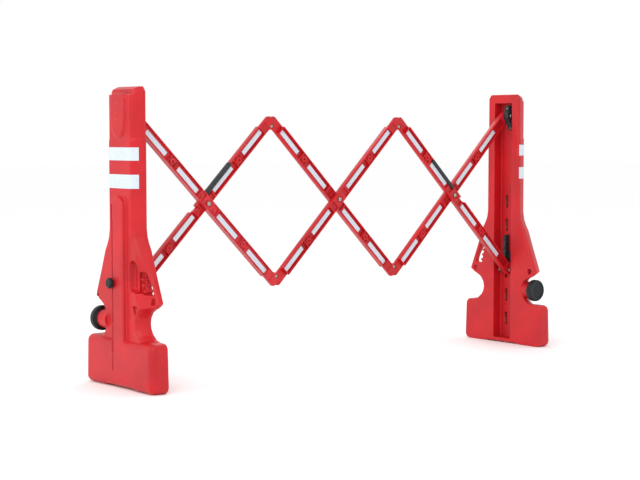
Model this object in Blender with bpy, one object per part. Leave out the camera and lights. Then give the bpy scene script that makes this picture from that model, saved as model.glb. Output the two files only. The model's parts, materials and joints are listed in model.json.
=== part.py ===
"""Expanding lattice safety barrier: two blow-moulded posts joined by six crossing arms.

Metres, +Z up, +X along the barrier. The whole barrier repeats when turned 180 degrees about Z.
"""
import math

import bmesh
import bpy
from mathutils import Matrix, Vector

for old in list(bpy.data.objects):
    bpy.data.objects.remove(old, do_unlink=True)

GAP = 0.0003               # clearance between touching pieces

# Post
HEIGHT = 1.0
INNER_X = 0.8715           # inner face of each post
BASE_DEEP = 0.068
COLUMN_DEEP = 0.054
BASE_HALF = 0.205
BASE_TOP = 0.165
COLUMN_HALF = 0.084
HEAD_HALF = 0.081
CHANNEL_HALF = 0.047
CHANNEL_DEEP = 0.042
CHANNEL_LOW = 0.018
CHANNEL_HIGH = 0.965
SLOT_Y = -0.030            # right post; the left post is the same moulding turned round
SLOT_HALF = 0.0035
SLOT_Z = (0.082, 0.506)
RIDGE_HALF = 0.038
RIDGE_TOP = 0.640
CAP_Z = 0.2205
CAP_R = 0.043
NECK_R = 0.032
BORE_R = 0.016
TAPE_THICK = 0.0007
SCREWS = ((0.944, INNER_X + 0.0072), (0.867, INNER_X + 0.0254))    # height, head seat

# Lattice
ARM_WIDE = 0.038
ARM_DEEP = 0.023
ARM_FLANGE = 0.003
ARM_WEB = 0.0035
LAYER = 0.0125             # half the distance between the two layers of arms
BODY_ANGLE = math.radians(45.2)
LAP_OFFSET = 0.0195        # a lap pivot lies this far off the arm's centre line
LAP_ALONG = 0.3944
OUTER_ALONG = 0.437
LUG_R = 0.013
LAP_BEYOND = 0.018         # the arm runs on this far past a lap pivot
LAP_ROUND = 0.012
LAP_ZONE = 0.040           # and is half as deep from this far before it
TIP_R = 0.017
BOLT_R = 0.004
LATTICE_Z = 0.605
PIVOT_X = 0.8915
LINK = math.hypot(LAP_ALONG, LAP_OFFSET)
LINK_ANGLE = BODY_ANGLE - math.atan2(LAP_OFFSET, LAP_ALONG)
STEP_X = LINK * math.cos(LINK_ANGLE)
STEP_Z = LINK * math.sin(LINK_ANGLE)

COLOURS = {
    "red_plastic": ((0.62, 0.020, 0.028), 0.0, 0.42),
    "red_arm": ((0.62, 0.020, 0.028), 0.0, 0.42),
    "black_plastic": ((0.012, 0.013, 0.015), 0.0, 0.5),
    "zinc_steel": ((0.62, 0.62, 0.60), 1.0, 0.35),
    "black_rubber": ((0.012, 0.012, 0.013), 0.0, 0.8),
    "white_tape": ((0.80, 0.83, 0.86), 0.0, 0.3),
}

parts = bpy.data.collections.new("expanding_barrier")
cutters = bpy.data.collections.new("cutters")
for collection in (parts, cutters):
    bpy.context.scene.collection.children.link(collection)


def material(node, slot):
    colour, metal, rough = COLOURS[slot]
    mat = bpy.data.materials.new(node)
    mat.use_nodes = True
    shader = mat.node_tree.nodes["Principled BSDF"]
    shader.inputs["Base Color"].default_value = (*colour, 1.0)
    shader.inputs["Metallic"].default_value = metal
    shader.inputs["Roughness"].default_value = rough
    return mat


def finish_mesh(bm, name, side=1, origin=(0, 0, 0)):
    """Turns the shape for its side of the barrier and puts its origin at the given world point."""
    if side < 0:
        bmesh.ops.rotate(bm, verts=bm.verts, cent=(0, 0, 0), matrix=Matrix.Rotation(math.pi, 3, "Z"))
    bmesh.ops.remove_doubles(bm, verts=bm.verts, dist=1e-6)
    bmesh.ops.recalc_face_normals(bm, faces=bm.faces)
    bmesh.ops.translate(bm, verts=bm.verts, vec=-Vector(origin))
    mesh = bpy.data.meshes.new(name)
    bm.to_mesh(mesh)
    bm.free()
    obj = bpy.data.objects.new(name, mesh)
    obj.location = origin
    return obj


def piece(bm, name, slot, side=1, origin=(0, 0, 0)):
    obj = finish_mesh(bm, name, side, origin)
    obj.data.materials.append(material(name, slot))
    parts.objects.link(obj)
    return obj


def cutter(bm, name, side=1):
    obj = finish_mesh(bm, name, side)
    obj.hide_render = True
    obj.display_type = "WIRE"
    cutters.objects.link(obj)
    return obj


def boolean(obj, other, operation="DIFFERENCE"):
    mod = obj.modifiers.new(other.name, "BOOLEAN")
    mod.object = other
    mod.operation = operation
    mod.solver = "EXACT"


def loft(bm, sections):
    """Closed solid through rings of the same number of points."""
    rings = [[bm.verts.new(p) for p in ring] for ring in sections]
    count = len(rings[0])
    for lower, upper in zip(rings, rings[1:]):
        for i in range(count):
            j = (i + 1) % count
            bm.faces.new((lower[i], lower[j], upper[j], upper[i]))
    bm.faces.new(rings[0])
    bm.faces.new(reversed(rings[-1]))


def add_box(bm, x, y, z):
    loft(bm, [[(x[0], y[0], h), (x[1], y[0], h), (x[1], y[1], h), (x[0], y[1], h)] for h in z])


def add_ring(bm, centre, axis, profile, count=24):
    """Solid of revolution: the profile is (distance along the axis, radius), radius over zero."""
    spin = Vector(axis).to_track_quat("Z", "Y").to_matrix()
    rings = []
    for along, radius in profile:
        ring = []
        for i in range(count):
            a = 2 * math.pi * i / count
            ring.append(Vector(centre) + spin @ Vector((radius * math.cos(a), radius * math.sin(a), along)))
        rings.append(ring)
    loft(bm, rings)


def add_washer(bm, centre, axis, low, high, inner, outer, count=24):
    spin = Vector(axis).to_track_quat("Z", "Y").to_matrix()
    rings = []
    for along, radius in ((low, inner), (low, outer), (high, outer), (high, inner)):
        rings.append([bm.verts.new(Vector(centre) + spin @ Vector((
            radius * math.cos(2 * math.pi * i / count), radius * math.sin(2 * math.pi * i / count), along)))
            for i in range(count)])
    for k in range(4):
        one, two = rings[k], rings[(k + 1) % 4]
        for i in range(count):
            j = (i + 1) % count
            bm.faces.new((one[i], one[j], two[j], two[i]))


def arc(cy, cz, r, start, end, count):
    return [(cy + r * math.cos(math.radians(start + (end - start) * i / count)),
             cz + r * math.sin(math.radians(start + (end - start) * i / count))) for i in range(count + 1)]


def inset(points, amount):
    """The anticlockwise outline moved inward by the amount, corner for corner."""
    out = []
    for i, p in enumerate(points):
        a, b = Vector(points[i - 1]), Vector(points[(i + 1) % len(points)])
        p = Vector(p)
        e1, e2 = (p - a).normalized(), (b - p).normalized()
        n1, n2 = Vector((-e1.y, e1.x)), Vector((-e2.y, e2.x))
        mitre = (n1 + n2) / max(1 + n1.dot(n2), 0.4)
        out.append(tuple(p + mitre * amount))
    return out


def mirrored(half):
    """Closes a right-hand half outline, given bottom to top, with its mirror image."""
    return half + [(-y, z) for y, z in reversed(half)]


def outline_loft(bm, outline, levels):
    """Levels are (depth from the inner face, inset)."""
    rings = []
    for deep, amount in levels:
        rings.append([(INNER_X + deep, y, z) for y, z in inset(outline, amount)])
    loft(bm, rings)


def base_outline():
    half = [(0.075, 0.004), (0.100, 0.0)]
    half += arc(0.187, 0.022, 0.022, -90, 0, 4)
    half += arc(BASE_HALF - 0.022, BASE_TOP - 0.022, 0.022, 5, 85, 4)
    return mirrored(half)


def upper_outline():
    half = [(0.165, 0.120), (0.168, 0.164)]
    half += [(0.140, 0.172), (0.119, 0.188), (0.108, 0.205), (0.105, 0.222), (0.109, 0.240), (0.121, 0.257)]
    half += [(0.136, 0.267), (0.163, 0.279), (0.181, 0.292), (0.138, 0.396), (0.112, 0.463)]
    half += [(0.098, 0.486), (0.089, 0.505), (COLUMN_HALF, 0.535), (COLUMN_HALF, 0.828), (HEAD_HALF, 0.832)]
    half += [(HEAD_HALF, HEIGHT - 0.015), (HEAD_HALF - 0.012, HEIGHT)]
    return mirrored(half)


def handle(body, name, side):
    """On the side without the cap the wing is a thin handle beside a grip well and a hand hole."""
    bm = bmesh.new()                                # the outer face slopes down to the handle
    loft(bm, [[(INNER_X + d, y, z) for d, y in ((0.056, y0), (0.09, y0), (0.09, 0.23), (0.022, 0.23), (0.022, y1))]
              for z, y0, y1 in ((0.256, 0.128, 0.176), (0.302, 0.088, 0.142), (0.42, 0.088, 0.142),
                                (0.50, 0.106, 0.15))])
    boolean(body, cutter(bm, name + "_slope", side))
    well = [(0.048, 0.334), (0.062, 0.320), (0.119, 0.320), (0.104, 0.384)] + arc(0.076, 0.408, 0.028, 0, 180, 10)
    deeper = [(0.082, 0.322), (0.119, 0.322), (0.104, 0.386), (0.100, 0.408), (0.082, 0.408)]
    hole = [(0.116, 0.318), (0.151, 0.318), (0.151, 0.328), (0.124, 0.394), (0.104, 0.394), (0.100, 0.384)]
    lower = [(0.062, 0.285), (0.086, 0.236), (0.108, 0.283)]
    for label, outline, levels in (("well", well, ((0.033, 0.010), (0.075, -0.001))),
                                   ("deeper", deeper, ((0.018, 0.001), (0.06, 0))),
                                   ("hole", hole, ((-0.02, 0), (0.09, 0))),
                                   ("lower", lower, ((0.042, 0.006), (0.075, 0)))):
        bm = bmesh.new()
        outline_loft(bm, outline, levels)
        boolean(body, cutter(bm, "%s_%s" % (name, label), side))


def post(name, side):
    bm = bmesh.new()
    outline_loft(bm, base_outline(), [(0, 0.005), (0.0015, 0.0015), (0.005, 0), (0.046, 0), (0.055, 0.0025),
                                      (0.063, 0.009), (0.0665, 0.0145), (BASE_DEEP, 0.020)])
    body = piece(bm, name, "red_plastic", side)

    bm = bmesh.new()
    outline_loft(bm, upper_outline(), [(0, 0.003), (0.003, 0), (0.014, 0), (0.040, 0.010), (0.050, 0.0155),
                                       (COLUMN_DEEP, 0.020)])
    boolean(body, cutter(bm, name + "_upper", side), "UNION")

    bm = bmesh.new()                                # the head's outer part is lower than its inner block
    add_box(bm, (INNER_X + 0.038, INNER_X + 0.08), (-0.1, 0.1), (0.974, HEIGHT + 0.02))
    boolean(body, cutter(bm, name + "_head_step", side))
    bm = bmesh.new()                                # ridge and nose, then the filler neck
    ridge = [(-RIDGE_HALF, 0.06), (RIDGE_HALF, 0.06)] + arc(0, RIDGE_TOP - RIDGE_HALF, RIDGE_HALF, 0, 180, 12)
    loft(bm, [[(INNER_X + d, y, z) for y, z in inset(ridge, k)]
              for d, k in ((0.048, 0), (0.0635, 0.0005), (0.0665, 0.0025), (BASE_DEEP - 0.0003, 0.006))])
    boolean(body, cutter(bm, name + "_ridge", side), "UNION")
    bm = bmesh.new()
    nose = arc(0, 0.868, 0.040, 180, 360, 12) + [(0.046, 0.900), (0.046, 0.955)]
    nose += arc(0.028, 0.961, 0.018, 0, 90, 4) + arc(-0.028, 0.961, 0.018, 90, 180, 4)
    nose += [(-0.046, 0.955), (-0.046, 0.900)]
    loft(bm, [[(INNER_X + d, y, z) for y, z in inset(nose, k)]
              for d, k in ((0.044, 0), (0.056, 0.001), (0.0605, 0.0035), (0.063, 0.009))])
    boolean(body, cutter(bm, name + "_nose", side), "UNION")
    bm = bmesh.new()
    add_ring(bm, (INNER_X + 0.034, 0, CAP_Z), (0, -1, 0), [(0.080, NECK_R + 0.001), (0.128, NECK_R),
                                                          (0.137, NECK_R - 0.003), (0.1385, NECK_R - 0.005)])
    boolean(body, cutter(bm, name + "_neck", side), "UNION")

    bm = bmesh.new()                                # channel the lattice folds into
    add_box(bm, (INNER_X - 0.02, INNER_X + CHANNEL_DEEP), (-CHANNEL_HALF, CHANNEL_HALF), (CHANNEL_LOW, CHANNEL_HIGH))
    boolean(body, cutter(bm, name + "_channel", side))

    handle(body, name, side)
    bm = bmesh.new()                                # slot, small holes, marks in the channel
    add_box(bm, (INNER_X + 0.03, INNER_X + 0.09), (SLOT_Y - SLOT_HALF, SLOT_Y + SLOT_HALF), SLOT_Z)
    small = [(0.141, 0.286), (0.158, 0.288), (0.161, 0.296), (0.157, 0.308), (0.141, 0.308)]
    for s in (1, -1):
        loft(bm, [[(x, s * y, z) for y, z in small] for x in (INNER_X - 0.02, INNER_X + 0.09)])
    for k in range(6):
        z = 0.070 + 0.095 * k
        add_box(bm, (INNER_X + CHANNEL_DEEP - 0.005, INNER_X + CHANNEL_DEEP + 0.003), (0.010, 0.024),
                (z, z + 0.050))
    for z, _ in SCREWS:                             # pilot holes of the bracket screws
        add_ring(bm, (0, -0.0123, z), (1, 0, 0), [(INNER_X + CHANNEL_DEEP - 0.004, 0.0024),
                                                 (INNER_X + CHANNEL_DEEP + 0.0115, 0.0024)], 16)
    boolean(body, cutter(bm, name + "_openings", side))
    bm = bmesh.new()                                # shallow groove that carries the slot's line on
    add_box(bm, (INNER_X + 0.0640, INNER_X + 0.09), (SLOT_Y - SLOT_HALF - 0.0002, SLOT_Y + SLOT_HALF + 0.0002),
            (0.058, 0.612))
    boolean(body, cutter(bm, name + "_groove", side))

    d0, floor = INNER_X + 0.0055, INNER_X + CHANNEL_DEEP + 0.006    # water chamber, wall by wall
    chamber = (("foot", d0, INNER_X + 0.0620, 0.0535, 0.186, 0.008, 0.146),
               ("neck", d0 + 0.0003, INNER_X + 0.0400, 0.0538, 0.088, 0.140, 0.228),
               ("lobe", d0 + 0.0006, INNER_X + 0.0260, 0.0541, 0.072, 0.220, 0.945))
    for label, x0, x1, y0, y1, z0, z1 in chamber:
        bm = bmesh.new()
        for s in (1, -1):
            add_box(bm, (x0, x1), sorted((s * y0, s * y1)), (z0, z1))
        boolean(body, cutter(bm, name + "_" + label, side))
    bm = bmesh.new()                                # ways round behind the channel and under the slot
    add_box(bm, (floor, INNER_X + 0.0615), (-0.020, 0.058), (0.010, 0.140))
    boolean(body, cutter(bm, name + "_behind", side))
    bm = bmesh.new()
    add_box(bm, (floor + 0.0004, INNER_X + 0.0610), (-0.058, 0.0), (0.011, 0.074))
    boolean(body, cutter(bm, name + "_under_slot", side))
    bm = bmesh.new()
    add_ring(bm, (INNER_X + 0.034, 0, CAP_Z), (0, -1, 0), [(0.082, BORE_R), (0.150, BORE_R)])
    boolean(body, cutter(bm, name + "_bore", side))


def filler_cap(side, label):
    centre = (INNER_X + 0.034, 0, CAP_Z)
    origin = (side * centre[0], -side * 0.1405, CAP_Z)
    bm = bmesh.new()
    add_ring(bm, centre, (0, -1, 0), [(0.122, 0.011), (0.123, 0.0145), (0.1402, 0.0145), (0.1405, CAP_R - 0.002),
                                      (0.1425, CAP_R), (0.1585, CAP_R), (0.1615, CAP_R - 0.0018),
                                      (0.163, CAP_R - 0.005), (0.1618, CAP_R - 0.0075), (0.1618, 0.004)], 32)
    piece(bm, "filler_cap_" + label, "black_plastic", side, origin)
    bm = bmesh.new()
    add_washer(bm, centre, (0, -1, 0), 0.1387, 0.1402, 0.0155, 0.023, 24)
    piece(bm, "cap_gasket_" + label, "black_rubber", side)


def tape(side, label, low, high, number):
    """Band bent round the outer face and the slanted sides, further round one side than the other."""
    levels = ((0.003, 0.0), (0.014, 0.0), (0.040, 0.010), (0.050, 0.0155), (COLUMN_DEEP, 0.020))
    halves = []
    for s, start in ((1, 0.028), (-1, 0.006)):
        path = [(d, COLUMN_HALF - k) for d, k in levels if d > start]
        for (d1, k1), (d2, k2) in zip(levels, levels[1:]):
            if d1 <= start < d2:
                path.insert(0, (start, COLUMN_HALF - (k1 + (k2 - k1) * (start - d1) / (d2 - d1))))
        near, far = [], []
        for i, p in enumerate(path):
            ahead = Vector(path[i + 1]) if i + 1 < len(path) else Vector((COLUMN_DEEP, 0.0))
            t2 = (ahead - Vector(p)).normalized()
            t1 = (Vector(p) - Vector(path[i - 1])).normalized() if i else t2
            n1, n2 = Vector((-t1.y, t1.x)), Vector((-t2.y, t2.x))
            n = (n1 + n2) / (1 + n1.dot(n2))
            near.append((p[0] + n.x * GAP, s * (p[1] + n.y * GAP)))
            far.append((p[0] + n.x * (GAP + TAPE_THICK), s * (p[1] + n.y * (GAP + TAPE_THICK))))
        halves.append((near, far))
    (near1, far1), (near2, far2) = halves
    ring = near1 + near2[::-1] + far2 + far1[::-1]
    bm = bmesh.new()
    loft(bm, [[(INNER_X + d, y, z) for d, y in ring] for z in (low, high)])
    piece(bm, "tape_band_%s_%d" % (label, number), "white_tape", side)


def to_world(cross_x, lean, layer):
    """Maps an arm's own (along, across, deep) to the barrier: lean +1 rises to the right."""
    c, s = math.cos(BODY_ANGLE), math.sin(BODY_ANGLE) * lean
    rows = Matrix(((c, -s, 0, cross_x), (0, 0, 1, layer), (s, c, 0, LATTICE_Z), (0, 0, 0, 1)))
    return rows


def lap_outline(along, across):
    """End of an arm at a lap, anticlockwise: a disc round the pivot on one edge, a corner on the other."""
    wide = ARM_WIDE / 2
    points = [(-0.016, -wide)] + arc(0, -LAP_OFFSET, LUG_R, -170, -10, 10) + [(LAP_BEYOND, -0.008)]
    points += arc(LAP_BEYOND - LAP_ROUND, wide - LAP_ROUND, LAP_ROUND, 0, 90, 4)
    if across > 0:
        points = [(s, -t) for s, t in reversed(points)]
    if along < 0:
        points = [(-s, t) for s, t in reversed(points)]
    return [(along + s, t) for s, t in points]


def arm(name, cross_x, lean, layer, left, right, far_half, origin, grip=False):
    """left and right are the end pivots (along, across); far_half says which half of the depth
    each lap lug keeps: +1 the +Y half, -1 the -Y half, 0 the full depth."""
    place = to_world(cross_x, lean, layer)
    half, wide = ARM_DEEP / 2, ARM_WIDE / 2
    outline = []
    for sign, (along, across), keep in ((1, right, far_half[1]), (-1, left, far_half[0])):
        if keep:
            outline += lap_outline(along, across)
        else:
            outline += [(along - sign * 0.010, wide * -sign)]
            outline += arc(along, across, TIP_R, -80 if sign > 0 else 100, 80 if sign > 0 else 260, 10)
            outline += [(along - sign * 0.010, wide * sign)]
    bm = bmesh.new()
    rings = [[place @ Vector((s, t, d)) for s, t in outline] for d in (-half, half)]
    loft(bm, rings)
    body = piece(bm, name, "red_arm", 1, origin)

    bm = bmesh.new()                                # long pockets either side of the web
    floor = ARM_WEB / 2
    reach = wide - ARM_FLANGE
    for face in (1, -1):
        d0, d1 = sorted((face * floor, face * (half + 0.004)))
        for sign, (along, _), keep in ((1, right, far_half[1]), (-1, left, far_half[0])):
            end = along - sign * (LAP_ZONE + 0.002 if keep else 0.026)
            for a, b in ((sign * 0.026, sign * 0.192), (sign * 0.222, end)):
                x = sorted((a, b))
                ring = [(x[0], -reach), (x[1], -reach), (x[1], reach), (x[0], reach)]
                loft(bm, [[place @ Vector((s, t, d)) for s, t in ring] for d in (d0, d1)])
        for sign in (1, -1):                        # dimple in the solid length between the pockets
            p = place @ Vector((sign * 0.207, 0, 0))
            add_ring(bm, (p.x, 0, p.z), (0, 1, 0), [(layer + face * (half - 0.003), 0.006),
                                                   (layer + face * (half + 0.004), 0.006)], 16)
    boolean(body, cutter(bm, name + "_pockets"))

    bm = bmesh.new()                                # lap ends lose half their depth
    for sign, (along, _), keep in ((1, right, far_half[1]), (-1, left, far_half[0])):
        if keep:
            x = sorted((along - sign * LAP_ZONE, along + sign * 0.03))
            ring = [(x[0], -0.05), (x[1], -0.05), (x[1], 0.05), (x[0], 0.05)]
            if keep > 0:
                d0, d1 = -half - 0.004, GAP * 1.5
            else:
                d0, d1 = -GAP * 1.5, half + 0.004
            loft(bm, [[place @ Vector((s, t, d)) for s, t in ring] for d in (d0, d1)])
    boolean(body, cutter(bm, name + "_laps"))

    bm = bmesh.new()                                # pivot bores, then a pocket for each lap's nut or head
    for along, across in (left, (0, 0), right):
        p = place @ Vector((along, across, 0))
        add_ring(bm, (p.x, 0, p.z), (0, 1, 0), [(layer - 0.02, BOLT_R + 0.0004), (layer + 0.02, BOLT_R + 0.0004)], 16)
    boolean(body, cutter(bm, name + "_bores"))
    bm = bmesh.new()
    for (along, across), keep in ((left, far_half[0]), (right, far_half[1])):
        p = place @ Vector((along, across, 0))
        if keep:
            depth = sorted((layer + keep * (half - 0.0062), layer + keep * (half + 0.003)))
            add_ring(bm, (p.x, 0, p.z), (0, 1, 0), [(y, 0.0083) for y in depth], 16)
    boolean(body, cutter(bm, name + "_seats"))

    if grip:
        bm = bmesh.new()
        x = sorted((0.022 * lean, 0.176 * lean))    # flange cut away where the grip sits
        w, d1 = ARM_WEB / 2, half + 0.004
        ring = [(-d1, 0.0036), (-w, 0.0036), (-w, 0.0145), (w, 0.0145), (w, 0.0036), (d1, 0.0036),
                (d1, 0.03), (-d1, 0.03)]
        loft(bm, [[place @ Vector((s, t, d)) for d, t in ring] for s in x])
        boolean(body, cutter(bm, name + "_grip_seat"))
        bm = bmesh.new()
        x = sorted((-0.030 * lean, -0.062 * lean))
        ring = [(x[0], 0.011), (x[1], 0.011), (x[1], 0.03), (x[0], 0.03)]
        loft(bm, [[place @ Vector((s, t, d)) for s, t in ring] for d in (-0.02, 0.02)])
        boolean(body, cutter(bm, name + "_notch"))


def grip_sleeve(name, cross_x, lean, layer):
    """C-shaped grip clipped over the web where the upper flange is cut away."""
    place = to_world(cross_x, lean, layer)
    low, high, deep, slot = 0.0090, 0.0232, 0.0112, ARM_WEB / 2 + GAP
    ring = [(-deep, low + 0.002), (-deep + 0.002, low), (-slot, low), (-slot, 0.0148), (slot, 0.0148), (slot, low),
            (deep - 0.002, low), (deep, low + 0.002), (deep, high - 0.006), (deep - 0.002, high - 0.002),
            (deep - 0.006, high), (-deep + 0.006, high), (-deep + 0.002, high - 0.002), (-deep, high - 0.006)]
    bm = bmesh.new()
    loft(bm, [[place @ Vector((s, t, d)) for d, t in ring] for s in (lean * 0.0224, lean * 0.1756)])
    piece(bm, name, "black_rubber", 1, place @ Vector((0, 0, 0)))


def pivot_bolt(name, x, z, head, tip, head_r=0.0078, head_t=0.005):
    """Domed head on the -Y side; the shank ends at tip and the nut sits there."""
    bm = bmesh.new()
    profile = [(-head_t, head_r * 0.45), (-head_t * 0.8, head_r * 0.75), (-head_t * 0.4, head_r), (0, head_r),
               (0, BOLT_R), (tip - head, BOLT_R)]
    add_ring(bm, (x, head, z), (0, 1, 0), profile, 20)
    piece(bm, "bolt_" + name, "zinc_steel", 1, (x, head, z))


def pivot_nut(name, x, z, near, far, r=0.0076):
    bm = bmesh.new()
    add_washer(bm, (x, 0, z), (0, 1, 0), near, far, BOLT_R + GAP, r, 12)
    piece(bm, "nut_" + name, "zinc_steel", 1, (x, near, z))


def slider(side, label):
    """Block that rides in the channel and carries the lower outer pivot. The lattice arm takes the
    -Y layer at the right post, so the block's lug takes the +Y layer below and widens above it."""
    pz = LATTICE_Z - 2 * OUTER_ALONG * math.sin(BODY_ANGLE) / 2
    x1 = INNER_X + CHANNEL_DEEP - 0.0012
    floor1 = INNER_X + CHANNEL_DEEP - 0.0008
    bm = bmesh.new()
    lug = arc(PIVOT_X, pz, 0.0165, 180, 360, 10) + [(x1, pz + 0.004), (x1, pz + 0.142), (PIVOT_X + 0.001, pz + 0.142),
                                                    (PIVOT_X - 0.008, pz + 0.132), (PIVOT_X - 0.008, pz + 0.036)]
    loft(bm, [[(x, y, z) for x, z in lug] for y in (0.0015, 0.0238)])
    body = piece(bm, "slider_" + label, "black_plastic", side, (side * PIVOT_X, 0, pz))
    bm = bmesh.new()
    add_box(bm, (floor1 - 0.0030, floor1), (-0.0375, 0.010), (pz + 0.036, pz + 0.074))
    boolean(body, cutter(bm, "slider_%s_foot" % label, side), "UNION")
    bm = bmesh.new()
    add_ring(bm, (PIVOT_X, 0, pz), (0, 1, 0), [(-0.01, BOLT_R + 0.0004), (0.04, BOLT_R + 0.0004)], 16)
    boolean(body, cutter(bm, "slider_%s_bore" % label, side))
    bm = bmesh.new()
    kz = pz + 0.055
    add_ring(bm, (0, SLOT_Y, kz), (1, 0, 0), [(INNER_X + 0.015, 0.0034), (INNER_X + 0.055, 0.0034)], 16)
    boolean(body, cutter(bm, "slider_%s_thread" % label, side))
    bm = bmesh.new()                                # lock knob with its stud
    face = INNER_X + BASE_DEEP + 0.0022
    add_ring(bm, (0, SLOT_Y, kz), (1, 0, 0), [(floor1 - 0.0028, 0.0031), (face, 0.0031), (face, 0.016),
                                              (face + 0.002, 0.018), (face + 0.012, 0.018),
                                              (face + 0.0145, 0.016), (face + 0.0155, 0.008)], 24)
    piece(bm, "lock_knob_" + label, "black_plastic", side, (side * face, side * SLOT_Y, kz))
    bm = bmesh.new()
    add_washer(bm, (0, SLOT_Y, kz), (1, 0, 0), INNER_X + BASE_DEEP + 0.0004, face - 0.0004, 0.0034, 0.0125, 20)
    piece(bm, "knob_washer_" + label, "zinc_steel", side, (side * face, side * SLOT_Y, kz))


def bracket(side, label):
    """Fixed bracket of the upper outer pivot, in the layer the arm leaves free (-Y at the right post)."""
    z = LATTICE_Z + OUTER_ALONG * math.sin(BODY_ANGLE)
    floor = INNER_X + CHANNEL_DEEP - 0.0005
    bm = bmesh.new()
    side_view = [(floor, 0.860), (floor, 0.956), (PIVOT_X - 0.012, 0.956), (PIVOT_X - 0.0165, z + 0.010),
                 (PIVOT_X - 0.0165, z - 0.010), (PIVOT_X + 0.004, 0.872), (PIVOT_X + 0.008, 0.860)]
    loft(bm, [[(x, y, zz) for x, zz in side_view] for y in (-0.0238, -0.0015)])
    body = piece(bm, "top_bracket_" + label, "black_plastic", side, (side * PIVOT_X, 0, z))
    bm = bmesh.new()
    add_ring(bm, (PIVOT_X, 0, z), (0, 1, 0), [(-0.04, BOLT_R + 0.0004), (0.01, BOLT_R + 0.0004)], 16)
    boolean(body, cutter(bm, "top_bracket_%s_bore" % label, side))
    bm = bmesh.new()
    for zz, seat in SCREWS:
        add_ring(bm, (0, -0.0123, zz), (1, 0, 0), [(seat - 0.02, 0.0050), (seat + 0.0035, 0.0050),
                                                   (seat + 0.0035, 0.0024), (floor + 0.01, 0.0024)], 16)
    boolean(body, cutter(bm, "top_bracket_%s_screws" % label, side))
    for number, (zz, seat) in enumerate(SCREWS, 1):
        bm = bmesh.new()
        add_ring(bm, (0, -0.0123, zz), (1, 0, 0), [(seat + 0.0006, 0.0032), (seat + 0.0012, 0.0045),
                                                   (seat + 0.0032, 0.0045), (seat + 0.0032, 0.0021),
                                                   (floor + 0.0100, 0.0021)], 16)
        piece(bm, "screw_%s_%d" % (label, number), "zinc_steel", side, (side * seat, -side * 0.0123, zz))


left, right = -1, 1
for where, label in ((right, "right"), (left, "left")):
    post("post_" + label, where)
    filler_cap(where, label)
    tape(where, label, 0.757, 0.800, 1)
    tape(where, label, 0.665, 0.711, 2)
    slider(where, label)
    bracket(where, label)

CROSS = [-2 * STEP_X, 0.0, 2 * STEP_X]
OUT_DX = OUTER_ALONG * math.cos(BODY_ANGLE)
OUT_DZ = OUTER_ALONG * math.sin(BODY_ANGLE)
out_l, out_r = (-OUTER_ALONG, 0.0), (OUTER_ALONG, 0.0)
high_l, high_r = (-LAP_ALONG, -LAP_OFFSET), (LAP_ALONG, -LAP_OFFSET)   # tops of the lattice
low_l, low_r = (-LAP_ALONG, LAP_OFFSET), (LAP_ALONG, LAP_OFFSET)       # bottoms of the lattice
TOP_Z, LOW_Z = LATTICE_Z + STEP_Z, LATTICE_Z - STEP_Z
points = {
    "t0": (CROSS[0] - OUT_DX, LATTICE_Z + OUT_DZ), "b0": (CROSS[0] - OUT_DX, LATTICE_Z - OUT_DZ),
    "t3": (CROSS[2] + OUT_DX, LATTICE_Z + OUT_DZ), "b3": (CROSS[2] + OUT_DX, LATTICE_Z - OUT_DZ),
    "t1": (-STEP_X, TOP_Z), "b1": (-STEP_X, LOW_Z), "t2": (STEP_X, TOP_Z), "b2": (STEP_X, LOW_Z),
    "c1": (CROSS[0], LATTICE_Z), "c2": (CROSS[1], LATTICE_Z), "c3": (CROSS[2], LATTICE_Z),
}


def pivot(key):
    x, z = points[key]
    return (x, 0.0, z)


arm("arm_front_1", CROSS[0], -1, -LAYER, out_l, low_r, (0, -1), pivot("t0"))
arm("arm_front_2", CROSS[1], 1, -LAYER, low_l, high_r, (1, -1), pivot("b1"))
arm("arm_front_3", CROSS[2], -1, -LAYER, high_l, out_r, (1, 0), pivot("t2"), True)
arm("arm_back_1", CROSS[0], 1, LAYER, out_l, high_r, (0, -1), pivot("c1"), True)
arm("arm_back_2", CROSS[1], -1, LAYER, high_l, low_r, (1, -1), pivot("t1"))
arm("arm_back_3", CROSS[2], 1, LAYER, low_l, out_r, (1, 0), pivot("b2"))
grip_sleeve("grip_sleeve_left", CROSS[0], 1, LAYER)
grip_sleeve("grip_sleeve_right", CROSS[2], -1, -LAYER)

half = ARM_DEEP / 2
for key in ("c1", "c2", "c3"):
    x, z = points[key]
    pivot_bolt(key, x, z, -LAYER - half - GAP, LAYER + half + 0.0055)
    pivot_nut(key, x, z, LAYER + half + GAP, LAYER + half + 0.005)
    bm = bmesh.new()
    add_washer(bm, (x, 0, z), (0, 1, 0), -0.0007, 0.0007, BOLT_R + 0.0004, 0.0185, 24)
    piece(bm, "spacer_" + key, "black_plastic", 1, (x, 0, z))
for key, layer in (("t1", LAYER), ("b1", -LAYER), ("t2", -LAYER), ("b2", LAYER)):
    x, z = points[key]
    pivot_bolt(key, x, z, layer - half + 0.0062 - GAP, layer + half - 0.0012)
    pivot_nut(key, x, z, layer + half - 0.0062 + GAP, layer + half - 0.0012)
for key in ("t0", "b0", "t3", "b3"):
    x, z = points[key]
    pivot_bolt(key, x, z, -0.0245, 0.0298)
    pivot_nut(key, x, z, 0.0245, 0.0295)
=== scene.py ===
"""Looks of the expanding barrier: moulded posts, ribbed arms with reflective strips, grips and caps."""
import json
import math

import bmesh
import bpy
from mathutils import Matrix, Vector


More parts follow.
